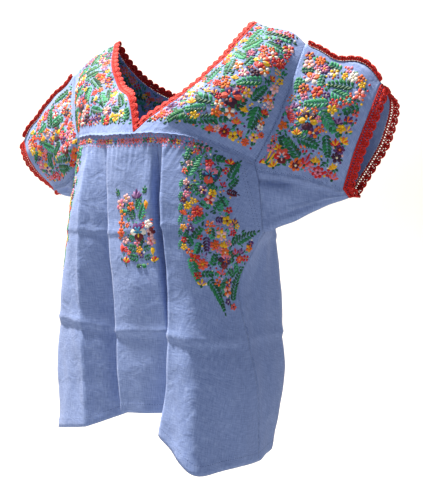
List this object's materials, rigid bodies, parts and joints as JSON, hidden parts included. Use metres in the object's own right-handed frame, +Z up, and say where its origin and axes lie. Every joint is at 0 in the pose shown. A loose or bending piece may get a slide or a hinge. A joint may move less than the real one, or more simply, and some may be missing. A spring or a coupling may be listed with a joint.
{
  "type": "huipil blouse",
  "caption": "Loose short-sleeved cotton blouse in its worn shape, with an embroidered yoke and sleeves, a tucked front, and scalloped crochet at the neck and cuffs.",
  "frame": {"origin": "midway between the two shoulder high points of the neck opening, where the wearer's shoulders hold the blouse", "axes": "+Z up, -Y is the blouse's front, +X towards the wearer's left sleeve"},
  "size_m": [0.709, 0.2792, 0.6707],
  "materials": {
    "cotton": "plain-woven cotton, pale cornflower blue, matt",
    "crochet": "red crochet cotton, matt",
    "smocking": "stranded cotton stitches, pink and mauve, matt"
  },
  "bodies": {
    "root": {"body_front": "cotton", "body_back": "cotton", "yoke_front_left": "cotton", "yoke_front_right": "cotton", "yoke_back": "cotton", "sleeve_left_front": "cotton", "sleeve_left_back": "cotton", "sleeve_right_front": "cotton", "sleeve_right_back": "cotton", "gusset_left": "cotton", "gusset_right": "cotton", "neck_edging": "crochet", "cuff_edging_left": "crochet", "cuff_edging_right": "crochet", "sleeve_seam_edging_left": "crochet", "sleeve_seam_edging_right": "crochet", "smocking_band": "smocking"}
  },
  "joints": []
}
